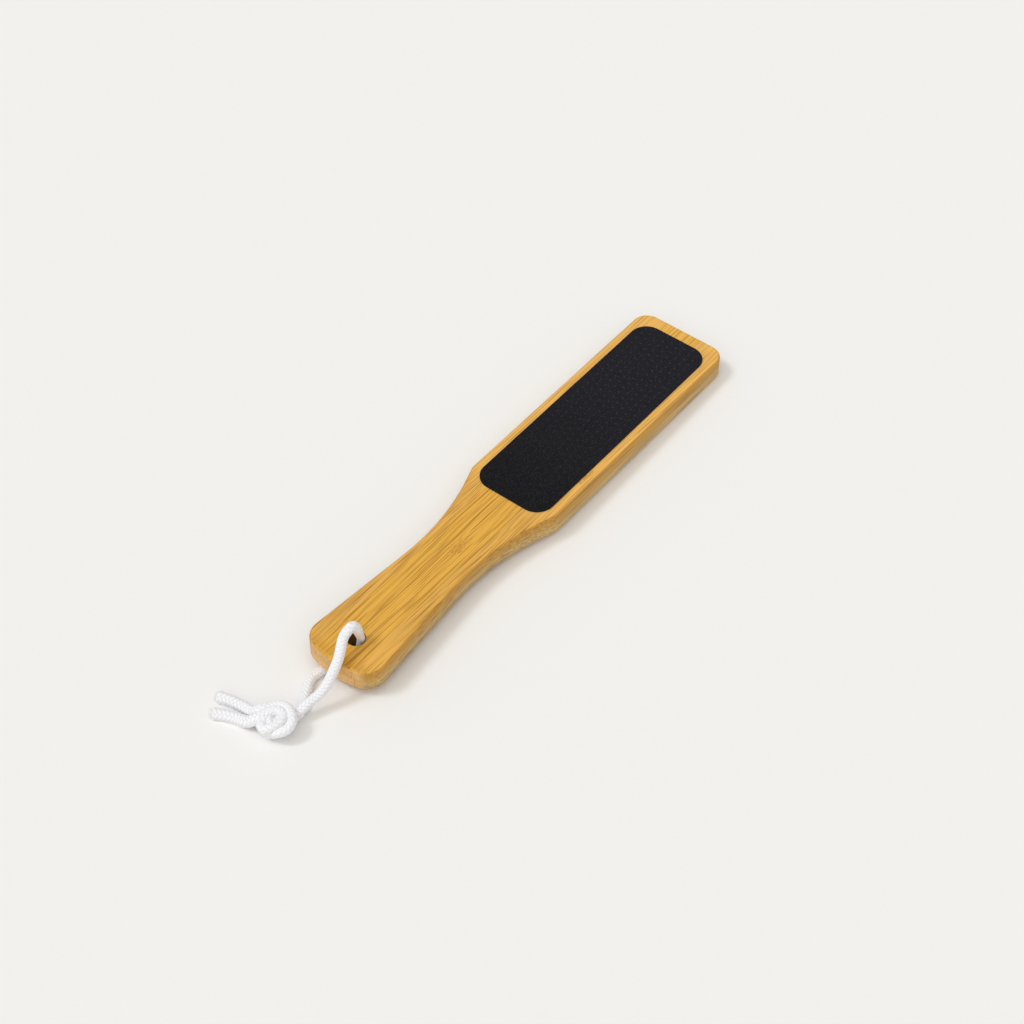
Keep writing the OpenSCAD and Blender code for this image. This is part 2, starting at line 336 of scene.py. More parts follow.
def strip_shape(s, plans, rings, hole):
    """A strip as rings of its plan, closed by flat caps. With a hole, the caps are cut out round it and
    the hole's wall is a profile turned about its axis, with a quarter round at the outer mouth."""
    count = len(plans[0])
    points = np.concatenate([np.column_stack([p, np.full(count, z)]) for p, (z, _) in zip(plans, rings)])
    faces = grid_faces(len(rings), count)
    last = (len(rings) - 1) * count
    if not hole:
        return points, faces + [list(range(count))[::-1], list(range(last, last + count))]
    around, mouth_steps = 64, 7
    a = -np.linspace(0, 2 * math.pi, around, endpoint=False)
    r, m, x = s.hole_diameter / 2 / MM, s.hole_rounding / MM, s.hole_at / MM
    q = np.linspace(0, math.pi / 2, mouth_steps)
    mouth = np.stack([m * (1 - np.cos(q)), r + m * (1 - np.sin(q))], axis=1)
    low, high = rings[0][0], rings[-1][0]
    if low == 0:
        wall = np.concatenate([mouth, [[high, r]]])
    else:
        wall = np.concatenate([[[low, r]], np.stack([high - mouth[::-1, 0], mouth[::-1, 1]], axis=1)])
    rim = [
        np.stack([x + w * np.cos(a), w * np.sin(a), np.full(around, z)], axis=1) for z, w in wall
    ]
    first = len(points)
    points = np.concatenate([points, *rim])
    faces += [f[::-1] for f in grid_faces(len(wall), around, first)]
    for ring, hole_ring, up in ((0, first, False), (last, first + (len(wall) - 1) * around, True)):
        index = list(range(ring, ring + count)) + list(range(hole_ring, hole_ring + around))
        loops = [[Vector(points[i]) for i in index[:count]], [Vector(points[i]) for i in index[count:]]]
        for triangle in tessellate_polygon(loops):
            p = [points[index[i]] for i in triangle]
            z = np.cross(p[1] - p[0], p[2] - p[0])[2]
            corners = [index[i] for i in triangle]
            faces.append(corners if (z > 0) == up else corners[::-1])
    return points, faces


# The cord's route, in millimetres from the handle end, the centre line and the table


# Height of the cord's centre line where it lies on the table
LIE_Z = 1.76
# The points are those of the part's source, but for the last one of each run, which leads into the
# knot's turns
OVER_ROUTE = [
    (16.5, -0.5, 9.5), (16.5, -0.5, 13), (16, -1, 17), (15, -1.5, 22), (12.5, -1, 26), (8.5, -1, 25.5),
    (3.5, -3, 22), (-2.5, -4.5, 18), (-8.5, -5, 13), (-14, -4.5, 9), (-20, -3.5, 7), (-24.5, -1.5, 5),
]
UNDER_ROUTE = [
    (16.5, -0.5, 9.5), (16.5, -0.5, 7.5), (16, -0.5, 5), (14, 1, 2.5), (11, 2.5, LIE_Z), (6, 5, LIE_Z),
    (0.5, 6.5, LIE_Z), (-5.5, 7, LIE_Z), (-11, 5.5, LIE_Z), (-16, 3, LIE_Z), (-21.5, 0, LIE_Z), (-25, 0, 2.2),
]
# The uppermost turn of the knot, as it lies in the picture: one cord down under the left lobe, up the
# right side and over to its tail; the other one inside it, round the lobe
OVER_TURN = [
    (-35.0, 5.3, 6.8), (-38.2, 1.5, 5), (-37.5, -2.3, 6.4), (-34.4, -4.6, 7.6), (-30.6, -4, 8.6),
    (-27.4, -0.3, 8.6), (-26.6, 4.7, 8), (-29.3, 8.6, 7.2),
]
UNDER_TURN = [
    (-38, 6.6, 6.4), (-40.4, 3.6, 7.2), (-38.8, 0.9, 8.2), (-35.2, -1.1, 8.8), (-31.6, 0.2, 9),
    (-31.2, 4.2, 9), (-34, 7.2, 8.2),
]
UPPER_TAIL = [(-33, 11, 7), (-34.5, 15, 3), (-34.5, 20, LIE_Z), (-35.5, 26, LIE_Z), (-37.5, 33, LIE_Z)]
LOWER_TAIL = [(-37, 9, 7), (-40, 13, 3.5), (-40.5, 17.5, LIE_Z), (-42.5, 23, LIE_Z), (-45.5, 28.5, LIE_Z)]
# Small shifts that follow the picture, each as a distance along the cord, the half length that it
# reaches and the shift. Upper run: the strand in the hole, the arch's top, its side towards the handle
# end, the way past the handle end, the way to the knot, the tail. Lower run: the strand in the hole,
# where it comes out beside the handle end, the knot's last turn, the tail.
OVER_LEANS = [
    (5, 9, (0.7, -0.85, 0)), (16, 7, (0.3, 0, 1.0)), (26, 9, (-0.45, 0.5, 0)), (39, 9, (-0.2, -0.1, 0.45)),
    (56, 12, (0, 1.3, 0)), (175, 32, (0.6, 0.5, 0)),
]
UNDER_LEANS = [
    (0, 6, (0.8, -1.0, 0)), (24, 12, (-1.1, 1.4, 0)), (118, 11, (1.2, 0.9, -0.3)), (152, 30, (0.6, 0.5, 0)),
]
# The knot's lower turns: the ring's centre and radius, where it starts, and the winding's radius, its
# turns per turn of the ring, the angle from the middle to each cord, and the step between two points;
# angles in degrees
KNOT_CENTRE, KNOT_RING, KNOT_START = (-33.2, 3.9, 4.9), 4.0, 38.6
WINDING, WINDS_PER_TURN, CORD_APART, TURN_STEP = 2.2, 1.5, 45, 20.0


def knot_route(side, turned):
    """One cord's way through the lower turns of the overhand knot that both cords are tied in side by side.

    The pair runs round the ring, counter-clockwise seen from above, for the angle turned in degrees, and
    winds about the ring's own centre line, each cord to its side."""
    along = np.arange(0.0, turned + 1, TURN_STEP)
    wind = np.radians(180 + WINDS_PER_TURN * along + side * CORD_APART)
    out, turn = KNOT_RING + WINDING * np.cos(wind), np.radians(KNOT_START + along)
    x, y, z = KNOT_CENTRE
    return np.stack([x + out * np.cos(turn), y + out * np.sin(turn), z - WINDING * np.sin(wind)], axis=1)


def distance_along(curve):
    """Each point's distance from the first one along the curve."""
    return np.concatenate([[0], np.cumsum(np.linalg.norm(np.diff(curve, axis=0), axis=1))])


def smooth_route(points, step):
    """A smooth curve through the points, as points a step apart, and each one's distance along it.

    Between two points it is the centripetal cubic whose slope at each comes from its neighbours; then
    each coordinate is averaged over 2 mm, so that no bend has a kink."""
    samples, averaged = 60, 2.0
    p = np.asarray(points, float)
    p = np.concatenate([[2 * p[0] - p[1]], p, [2 * p[-1] - p[-2]]])
    knots = np.concatenate([[0], np.cumsum(np.linalg.norm(np.diff(p, axis=0), axis=1) ** 0.5)])
    t = np.linspace(knots[1], knots[-2], samples * len(points))[:, None]
    i = np.clip(np.searchsorted(knots, t[:, 0], side="right") - 1, 1, len(p) - 3)
    k0, k1, k2, k3 = (knots[i + n][:, None] for n in (-1, 0, 1, 2))
    p0, p1, p2, p3 = (p[i + n] for n in (-1, 0, 1, 2))
    a1 = p0 * (k1 - t) / (k1 - k0) + p1 * (t - k0) / (k1 - k0)
    a2 = p1 * (k2 - t) / (k2 - k1) + p2 * (t - k1) / (k2 - k1)
    a3 = p2 * (k3 - t) / (k3 - k2) + p3 * (t - k2) / (k3 - k2)
    b1 = a1 * (k2 - t) / (k2 - k0) + a2 * (t - k0) / (k2 - k0)
    b2 = a2 * (k3 - t) / (k3 - k1) + a3 * (t - k1) / (k3 - k1)
    curve = b1 * (k2 - t) / (k2 - k1) + b2 * (t - k1) / (k2 - k1)
    for _ in range(2):
        gone = distance_along(curve)
        even = np.linspace(0, gone[-1], int(gone[-1] / step) + 1)
        curve = np.stack([np.interp(even, gone, curve[:, k]) for k in range(3)], axis=1)
        width = max(3, int(averaged / step) | 1)
        window = np.hanning(width + 2)[1:-1]
        window /= window.sum()
        half = width // 2
        before, after = 2 * curve[0] - curve[half:0:-1], 2 * curve[-1] - curve[-2:-half - 2:-1]
        lead = np.concatenate([before, curve, after])
        curve = np.stack([np.convolve(lead[:, k], window, "valid") for k in range(3)], axis=1)
    return curve, distance_along(curve)


def leaning(curve, gone, leans):
    """The curve moved a little sideways at named places: each lean is a distance along it, the half
    length it reaches and the shift in millimetres, full in the middle and fading smoothly to both sides."""
    for at, half, shift in leans:
        curve = curve + ease(np.clip(1 - np.abs(gone - at) / half, 0, 1))[:, None] * np.array(shift)
    return curve


def carried_frames(curve):
    """Two directions across the curve at each point, turned as little as possible along it."""
    tangent = np.gradient(curve, axis=0)
    tangent /= np.linalg.norm(tangent, axis=1)[:, None]
    across, before = np.empty_like(curve), np.array([0.0, 1.0, 0.0])
    for i, t in enumerate(tangent):
        before = before - (before @ t) * t
        before /= np.linalg.norm(before)
        across[i] = before
    return tangent, across, np.cross(tangent, across)


def braid_relief(around, along, columns, stitch):
    """Height from 0 to 1 of a two-over-two braid, and the place across and along each stitch.

    around is the share of a turn, along the length in millimetres. Two families of yarns wind the two
    ways round, at a = columns x around + along / stitch and b = columns x around - along / stitch. Their
    whole numbers i and j count the yarns: where (i + j) mod 4 is 0 or 1 the first family is on top, and
    otherwise the second. A stitch is round across its yarn and dives at both ends to a quarter of its
    height."""
    a, b = columns * around + along / stitch, columns * around - along / stitch
    i, j = np.floor(a), np.floor(b)
    m = np.mod(i + j, 4)
    first = m < 2
    over = np.where(first, a - i, b - j) - 0.5
    run = np.where(first, m + b - j, m - 2 + a - i) / 2
    height = np.sqrt(np.maximum(1 - (2 * over) ** 2, 0)) * (0.25 + 0.75 * np.sqrt(np.sin(np.pi * run)))
    return height, over, run


# The braided tube, in millimetres: distance between its rings and points round one; over how much of its
# length the cord passes into the knot, and into the thicker tail, which starts a little before the
# knot's end; up to where and over how much the run is drawn thin and is taut; distance of the painted ribs
RING_STEP, RING_POINTS = 0.24, 72
KNOT_FADE, TAIL_LEAD, TAIL_FADE = 6, 3, 8
DRAWN_TO, DRAWN_FADE, TAUT_TO, TAUT_FADE, RIB_PITCH = 13.5, 5, 30, 25, 1.15
# The cut tip's bulge as a share of the radius, its place from the tip and its length; the dome's length
# and how far it closes; how far the yarns' crests stand over the nominal radius; the least radius at the
# tip, and how far the tip's last point stands out
BULGE, BULGE_AT, BULGE_LONG, DOME_LONG, DOME_SHUT = 0.07, 1.2, 1.6, 0.9, 0.97
CREST, LEAST_RADIUS, TIP_OUT = 0.1, 0.05, 0.05
# How much of their depth the furrows lose in the knot, and their depths in the flats above and below
LOST_IN_KNOT, FURROW_ABOVE, FURROW_BELOW = 0.3, 0.12, 0.08
# How dark a furrow's painted shade is where the run is taut, as a share of a slack one, and how dark
# the painted ribs are
TAUT_SHADE, RIB_SHADE = 0.6, 0.4


def braided_cord(name, route, cord, mid, knot, taut, drawn, leans):
    """A braided tube along a route: a circle's radius at each point is the cord's own, less the braid's
    furrows, thinner in the knot and thicker in the loose tail, and the circle is cut flat on the table
    and under the handle. taut is the share of the furrows' depth that is left where the run is bent
    tight over the handle, and drawn how much thinner the strand is where it is pulled out of the hole."""
    around = RING_POINTS
    curve, gone = smooth_route(route, RING_STEP)
    curve = leaning(curve, gone, leans)
    tangent, u, v = carried_frames(curve)
    turn, along = np.meshgrid(np.linspace(0, 1, around, endpoint=False), gone)
    height, over, run = braid_relief(turn, along, cord.columns, cord.stitch / MM)
    into, out_of = np.clip((gone - knot[0]) / KNOT_FADE, 0, 1), np.clip((knot[1] - gone) / KNOT_FADE, 0, 1)
    in_knot = ease(into * out_of)
    in_tail = ease(np.clip((gone - knot[1] + TAIL_LEAD) / TAIL_FADE, 0, 1))
    size = cord.diameter / 2 / MM * (1 - (1 - cord.knot_squeeze) * in_knot + (cord.swell - 1) * in_tail)
    size = size * (1 - drawn * ease(np.clip((DRAWN_TO - gone) / DRAWN_FADE, 0, 1)))
    # Where the run is taut, fine ribs across it are painted as lines of shade, and the stitches' furrows are
    # shallower
    rib = (0.5 - 0.5 * np.cos(2 * math.pi * gone / RIB_PITCH)) ** 2
    slack = taut + (1 - taut) * ease(np.clip((gone - TAUT_TO) / TAUT_FADE, 0, 1))
    slack = slack * (1 - LOST_IN_KNOT * in_knot)
    depth = cord.relief / MM * slack
    # The cut tip bulges a little and then closes in a low dome
    to_tip = gone[-1] - gone
    size = size * (1 + BULGE * np.exp(-((to_tip - BULGE_AT) / BULGE_LONG) ** 2))
    size = size * np.sqrt(np.clip(1 - np.clip(1 - to_tip / DOME_LONG, 0, 1) ** 2 * DOME_SHUT, 0, 1))
    radius = size[:, None] + CREST - depth[:, None] * (1 - height)
    radius = np.maximum(radius, LEAST_RADIUS)
    round_it = 2 * math.pi * turn
    rings = (
        curve[:, None, :]
        + (radius * np.cos(round_it))[..., None] * u[:, None, :]
        + (radius * np.sin(round_it))[..., None] * v[:, None, :]
    )
    # Under the handle the cord is pressed flat; on the table it is flat below. Furrows stay in both flats
    under = (curve[:, 0] > -cord.diameter / MM) & (curve[:, 2] < cord.diameter / MM)
    ceiling = np.where(under, cord.pressed / MM, np.inf)[:, None] - FURROW_ABOVE * (1 - height)
    rings[..., 2] = np.maximum(np.minimum(rings[..., 2], ceiling), FURROW_BELOW * (1 - height))
    rings[..., 0] -= mid
    points = rings[:, ::-1, :].reshape(-1, 3)
    first, last = len(points), len(points) + 1
    centre = curve - [mid, 0, 0]
    points = np.concatenate([points, [centre[0]], [centre[-1] + tangent[-1] * TIP_OUT]])
    j = np.arange(around)
    k = (j + 1) % around
    base = first - around
    faces = grid_faces(len(curve), around)
    faces += np.stack([np.full(around, first), k, j], axis=1).tolist()
    faces += np.stack([np.full(around, last), base + j, base + k], axis=1).tolist()
    obj = new_mesh_object(name, points * MM, faces, smooth_below=179)
    # Painted shade: the yarn is coloured darker in the furrows and on the taut run's ribs, through the relief
    # attribute
    painted_rib_shade = (RIB_SHADE * rib * (1 - slack) * (1 - in_knot))[:, None]
    shade = 1 - (1 - height) * (TAUT_SHADE + (1 - TAUT_SHADE) * slack)[:, None] - painted_rib_shade
    for label, values in (("relief", shade), ("across", over), ("along", run)):
        attribute = obj.data.attributes.new(label, "FLOAT", "POINT")
        flat = np.concatenate([values[:, ::-1].reshape(-1), [0.5, 0.5]])
        attribute.data.foreach_set("value", flat.astype(np.float32))
    return obj, centre * MM, gone[-1] * MM


def frayed_fibres(name, curve, seed, count=110):
    """Loose fibre ends at a cut tip: thin three-sided spikes that leave the cord's end within its width
    and spread outwards, each bent by a random amount, 1 to 2.6 mm long."""
    # In millimetres: how far from the middle they start and how deep in the cord, a fibre's radius, the
    # least height over the table, and the lengths. The splay and the bend are shares of the length and
    # millimetres, the taper is what the radius loses
    within, sunk, fibre, least_height, shortest, longest = 2.0, 0.7, 0.055, 0.06, 1.0, 2.6
    least_splay, most_splay, bent, taper = 0.05, 0.65, 0.35, 0.75
    sides, rings, back_by = 3, 5, 12
    rng = np.random.default_rng(seed)
    tip, back = curve[-1] / MM, curve[-back_by] / MM
    t = (tip - back) / np.linalg.norm(tip - back)
    u = np.cross(t, [0, 0, 1])
    u /= np.linalg.norm(u)
    v = np.cross(t, u)
    a, r = rng.uniform(0, 2 * math.pi, count), within * np.sqrt(rng.uniform(0, 1, count))
    out = np.cos(a)[:, None] * u + np.sin(a)[:, None] * v
    root = tip - sunk * t + r[:, None] * out
    reach = rng.uniform(shortest, longest, count)
    splay = rng.uniform(least_splay, most_splay, count) * (r / within)
    bend = rng.normal(0, bent, (count, 3))
    s = np.linspace(0, 1, rings)
    line = (
        root[:, None, :]
        + (s[None, :, None] * reach[:, None, None]) * (t + splay[:, None] * out)[:, None, :]
        + (s**2)[None, :, None] * bend[:, None, :]
    )
    line[..., 2] = np.maximum(line[..., 2], least_height)
    thick = fibre * (1 - taper * s)
    corner = 2 * math.pi * np.arange(sides) / sides
    around = np.cos(corner)[:, None] * u + np.sin(corner)[:, None] * v
    points = line[:, :, None, :] + thick[None, :, None, None] * around[None, None]
    ring = np.arange(sides)
    nxt = (ring + 1) % sides
    base = np.arange(count)[:, None] * rings * sides
    start = base[..., None] + (np.arange(rings - 1) * sides)[None, :, None]
    corners = (start + ring, start + nxt, start + nxt + sides, start + ring + sides)
    faces = np.stack(np.broadcast_arrays(*corners), axis=-1).reshape(-1, 4).tolist()
    faces += (base + ring[::-1]).tolist() + (base + (rings - 1) * sides + ring).tolist()
    obj = new_mesh_object(name, points.reshape(-1, 3) * MM, faces, smooth_below=80)
    # The yarn's painted furrow shade comes from this attribute, and a loose fibre has none
    attribute = obj.data.attributes.new("relief", "FLOAT", "POINT")
    attribute.data.foreach_set("value", np.ones(len(obj.data.vertices), np.float32))
    return obj


# Materials


def add(tree, kind, inputs=(), **settings):
    """Adds one shader node of a kind. settings are its options; inputs maps a socket's name or number to
    a value or to another node's output."""
    node = tree.nodes.new("ShaderNode" + kind)
    for key, value in settings.items():
        setattr(node, key, value)
    for key, value in dict(inputs).items():
        if isinstance(value, bpy.types.NodeSocket):
            tree.links.new(value, node.inputs[key])
        else:
            node.inputs[key].default_value = value
    return node


def new_material(name, **surface):
    """A material with an output and a principled shader, whose even values are set on its own sockets."""
    material = bpy.data.materials.new(name)
    material.use_nodes = True
    tree = material.node_tree
    tree.nodes.clear()
    shader = add(tree, "BsdfPrincipled", surface)
    add(tree, "OutputMaterial", {"Surface": shader.outputs[0]})
    return material, tree, shader


def bamboo_material(name, s, cord, seed, own, tone, glue_lines, knuckle):
    """Flat-pressed bamboo, sanded and lightly oiled: satin, with dark fibre bundles that run the length
    of the strip as long dashes and show as dots where the surface cuts across them."""
    material, tree, shader = new_material(name, **{"IOR": 1.47, "Specular IOR Level": 0.42})
    # The place on the flat board: the leaning paddle's place, turned back
    tilt, pivot, mid = tilt_of(s, cord)
    r = s.edge_radius / MM
    c, n = math.cos(-tilt), math.sin(-tilt)
    place = (((mid - pivot) * c - r * n + pivot) * MM, 0.0, (-(mid - pivot) * n - r * c + r) * MM)
    coord = add(tree, "TexCoord").outputs["Object"]
    board = add(tree, "Mapping", {"Vector": coord, "Rotation": (0, -tilt, 0), "Location": place}).outputs[0]
    x, y, z = add(tree, "SeparateXYZ", {0: board}).outputs

    # The fibres wander by up to half a millimetre, over lengths of 70 mm along and 20 mm across
    slow = {"Scale": (1 / 0.07, 1 / 0.02, 1 / 0.02), "Location": (seed, seed * 2.3, seed * 1.7)}
    slow = add(tree, "Mapping", {"Vector": board, **slow}).outputs[0]
    wander = add(tree, "TexNoise", {"Vector": slow, "Scale": 1.0, "Detail": 1.5}).outputs["Color"]
    moves = [(wander, None, (0, 0.0011, 0.0011))]
    if knuckle:
        # In a knuckle, given by its place and half-widths, they swirl by more; swirl is its mask
        at, wide = ([a * MM for a in values] for values in knuckle)
        away = add(tree, "VectorMath", {0: board, 1: at}, operation="SUBTRACT").outputs[0]
        away = add(tree, "VectorMath", {0: away, 1: [1 / w for w in wide]}, operation="MULTIPLY").outputs[0]
        far = add(tree, "VectorMath", {0: away}, operation="LENGTH").outputs["Value"]
        swirl = add(
            tree, "MapRange", {"Value": far, "From Min": 1.0, "From Max": 0.0},
            interpolation_type="SMOOTHSTEP",
        ).outputs[0]
        curl = add(tree, "TexNoise", {"Vector": board, "Scale": 260.0, "Detail": 1.0}).outputs["Color"]
        moves.append((curl, swirl, (0.012, 0.0045, 0.0045)))
    bent = board
    for noise, share, reach in moves:
        move = add(tree, "VectorMath", {0: noise, 1: (0.5, 0.5, 0.5)}, operation="SUBTRACT").outputs[0]
        if share:
            move = add(tree, "VectorMath", {0: move, "Scale": share}, operation="SCALE").outputs[0]
        move = add(tree, "VectorMath", {0: move, 1: reach}, operation="MULTIPLY").outputs[0]
        bent = add(tree, "VectorMath", {0: bent, 1: move}, operation="ADD").outputs[0]

    # Textures drawn out along the grain: their lengths in millimetres along, across and through it, a
    # shift that makes each its own, the detail of a noise, and what is read. The cells are the fibre
    # bundles, crowd makes them come in crowded and in sparse bands, hair is the long fine lines between
    # them, and bands are slow changes of tone
    textures = [
        ("long cells", "TexVoronoi", 40, 1.1, 1.5, 0.0, {}, "Distance"),
        ("short cells", "TexVoronoi", 28, 0.8, 1.1, 7.0, {}, "Distance"),
        ("crowd", "TexNoise", 90, 3.0, 3.0, 3.0, {"Detail": 1.0}, "Fac"),
        ("hair", "TexNoise", 32, 0.52, 0.52, 17.0, {"Detail": 2.0}, "Fac"),
        ("bands", "TexNoise", 80, 3.0, 3.0, 11.0, {"Detail": 1.0}, "Fac"),
    ]
    if knuckle:
        textures.append(("spots", "TexNoise", 5, 0.9, 0.9, 23.0, {"Detail": 2.0}, "Fac"))
    grain = {}
    for key, kind, long_mm, wide_mm, deep_mm, shift, detail, read in textures:
        stretched = add(tree, "Mapping", {
            "Vector": bent,
            "Scale": (1 / (long_mm * MM), 1 / (wide_mm * MM), 1 / (deep_mm * MM)),
            "Location": (seed + shift, seed * 3.1 + shift, seed * 5.3 - shift),
        }).outputs[0]
        grain[key] = add(tree, kind, {"Vector": stretched, "Scale": 1.0, **detail}).outputs[read]
    hair = grain["hair"]

    normal = add(tree, "SeparateXYZ", {0: add(tree, "TexCoord").outputs["Normal"]}).outputs
    facing, sideways = (add(tree, "Math", {0: normal[k]}, operation="ABSOLUTE").outputs[0] for k in (0, 1))
    # Soft masks: what each follows, two values of that, and the mask at both. The bundles are 0.35 to
    # 0.5 mm wide and show as dashes up to 18 mm long. cut is the end walls, flank the side walls, and
    # faint what is left of the bundles on cut ends and their corners. high and low are heights over the
    # board's back, handle, near_end and painted_rim_light are places from the handle end, both in metres:
    # the handle, its very end, and the part round the pad, whose face is painted paler as painted light
    long_bundle, short_bundle, cut, flank, faint, high, low, handle, near_end, painted_rim_light = (
        add(
            tree, "MapRange",
            {"Value": value, "From Min": none, "From Max": full, "To Min": start, "To Max": most},
            interpolation_type="SMOOTHSTEP",
        ).outputs[0]
        for value, none, full, start, most in (
            (grain["long cells"], 0.22, 0.22 * 0.7, 0.0, 1.0),
            (grain["short cells"], 0.22, 0.22 * 0.7, 0.0, 1.0),
            (facing, 0.7, 0.97, 0.0, 0.75),
            (sideways, 0.28, 0.62, 0.0, 1.0),
            (facing, 0.5, 0.85, 1.0, 0.25),
            (z, 0.004, 0.0108, 0.0, 1.0),
            (z, 0.005, 0.001, 0.0, 1.0),
            (x, 0.12, 0.09, 0.0, 1.0),
            (x, 0.008, 0.002, 0.0, 0.75),
            (x, 0.112, 0.128, 0.0, 1.0),
        )
    )
    # The darkening at the handle end fades on the end wall, and the painted light round the pad on the side
    # walls
    limited = []
    for mask, wall in ((near_end, cut), (painted_rim_light, flank)):
        rest = add(tree, "Math", {0: 1.0, 1: wall}, operation="SUBTRACT").outputs[0]
        limited.append(add(tree, "Math", {0: mask, 1: rest}, operation="MULTIPLY").outputs[0])
    near_end, painted_rim_light = limited
    # Painted shade: the handle's flanks are painted darker still near the table
    painted_foot_shade = add(tree, "Math", {0: handle, 1: low}, operation="MULTIPLY").outputs[0]

    # Even ranges: how dark the crowded bands are, the fine lines' darkness, the tone's changes by bands
    # and by fine lines, the roughness, and how much the painted light round the pad pales the bundles
    crowd, line, light, fine, rough, painted_light_wash = (
        add(
            tree, "MapRange", {"Value": value, "From Min": a, "From Max": b, "To Min": start, "To Max": end}
        ).outputs[0]
        for value, a, b, start, end in (
            (grain["crowd"], 0.35, 0.62, 0.58, 0.84),
            (hair, 0.46, 0.33, 0.0, 0.8),
            (grain["bands"], 0.25, 0.75, 0.97, 1.03),
            (hair, 0.3, 0.7, 0.84, 1.2),
            (hair, 0.2, 0.8, 0.42, 0.56),
            (painted_rim_light, 0.0, 1.0, 1.0, 0.6),
        )
    )
    dark = add(tree, "Math", {0: short_bundle, 1: 0.8}, operation="MULTIPLY").outputs[0]
    dark = add(tree, "Math", {0: long_bundle, 1: dark}, operation="MAXIMUM").outputs[0]
    for value, operation in (
        (crowd, "MULTIPLY"), (line, "MAXIMUM"), (0.8, "MULTIPLY"), (faint, "MULTIPLY"), (painted_light_wash, "MULTIPLY"),
    ):
        dark = add(tree, "Math", {0: dark, 1: value}, operation=operation).outputs[0]

    # The end walls, where the fibres are cut across, are paler
    plain, sawn = (*[c * tone for c in own], 1), (*[c * tone for c in s.end_grain], 1)
    ground = add(tree, "Mix", {"Factor": cut, "A": plain, "B": sawn}, data_type="RGBA").outputs["Result"]
    # The flanks are painted darker than the faces as painted shade, deeper yellow towards the upper edge,
    # and greyer and bluer towards the table, which is a painted reflection of the pale table
    painted_flank_shade = (0.82, 0.93, 1.12, 1)
    for share, tint in ((high, (0.76, 0.72, 0.58, 1)), (painted_foot_shade, (0.62, 0.72, 0.95, 1))):
        painted_flank_shade = add(
            tree, "Mix", {"Factor": share, "A": painted_flank_shade, "B": tint}, data_type="RGBA"
        ).outputs["Result"]
    painted_flank_shade = add(tree, "VectorMath", {0: painted_flank_shade, 1: ground}, operation="MULTIPLY").outputs[0]
    ground = add(
        tree, "Mix", {"Factor": flank, "A": ground, "B": painted_flank_shade}, data_type="RGBA"
    ).outputs["Result"]
    # The hole's wall, seen by its distance from the hole's axis, is painted much darker as painted shade
    off_axis = add(tree, "VectorMath", {0: board, 1: (s.hole_at, 0, 0)}, operation="SUBTRACT").outputs[0]
    off_axis = add(tree, "VectorMath", {0: off_axis, 1: (1, 1, 0)}, operation="MULTIPLY").outputs[0]
    off_axis = add(tree, "VectorMath", {0: off_axis}, operation="LENGTH").outputs["Value"]
    wall = s.hole_diameter / 2
    painted_hole_shade = add(tree, "MapRange", {
        "Value": off_axis, "From Min": wall + 0.0005, "From Max": wall + 0.0001, "To Max": 0.8,
    }).outputs[0]
    # The handle end is darker and deeper yellow; round the pad the face is painted paler and bluer, as
    # painted light; the tone changes slowly across the strip, which is the step without a mask; the hole's
    # wall is painted much darker, as painted shade
    light = add(tree, "Math", {0: light, 1: fine}, operation="MULTIPLY").outputs[0]
    for share, tint in (
        (near_end, (0.86, 0.82, 0.55)), (painted_rim_light, (1.1, 1.13, 1.38)), (None, light),
        (painted_hole_shade, (0.12, 0.07, 0.03)),
    ):
        if share is None:
            ground = add(tree, "VectorMath", {0: ground, "Scale": tint}, operation="SCALE").outputs[0]
            continue
        tinted = add(tree, "VectorMath", {0: ground, 1: tint}, operation="MULTIPLY").outputs[0]
        ground = add(
            tree, "Mix", {"Factor": share, "A": ground, "B": tinted}, data_type="RGBA"
        ).outputs["Result"]

    # The bundles, the knuckle's spots, and the glue lines as hair-fine darker lines: those of the strips
    # and the one between the layers
    marks = [(dark, (*[c * tone for c in s.fibre], 1))]
    if knuckle:
        spots = add(tree, "MapRange", {
            "Value": grain["spots"], "From Min": 0.4, "From Max": 0.62, "To Min": 0.1, "To Max": 0.75,
        }).outputs[0]
        spots = add(tree, "Math", {0: spots, 1: swirl}, operation="MULTIPLY").outputs[0]
        marks.append((spots, (*s.knuckle, 1)))
    for at, across, most in [(glued, y, 0.5) for glued in glue_lines] + [(s.thickness / 2, z, 0.3)]:
        off = add(tree, "Math", {0: across, 1: at}, operation="SUBTRACT").outputs[0]
        off = add(tree, "Math", {0: off}, operation="ABSOLUTE").outputs[0]
        mark = add(
            tree, "MapRange", {"Value": off, "From Min": 0.00022, "From Max": 0.00004, "To Max": most}
        ).outputs[0]
        marks.append((mark, (*s.fibre, 1)))
    wood = ground
    for share, tint in marks:
        wood = add(tree, "Mix", {"Factor": share, "A": wood, "B": tint}, data_type="RGBA").outputs["Result"]
    height = add(tree, "Math", {0: hair, 1: dark}, operation="SUBTRACT").outputs[0]
    bump = add(tree, "Bump", {"Height": height, "Strength": 0.35, "Distance": 0.00006}).outputs[0]
    for socket, value in (("Base Color", wood), ("Roughness", rough), ("Normal", bump)):
        tree.links.new(value, shader.inputs[socket])
    return material


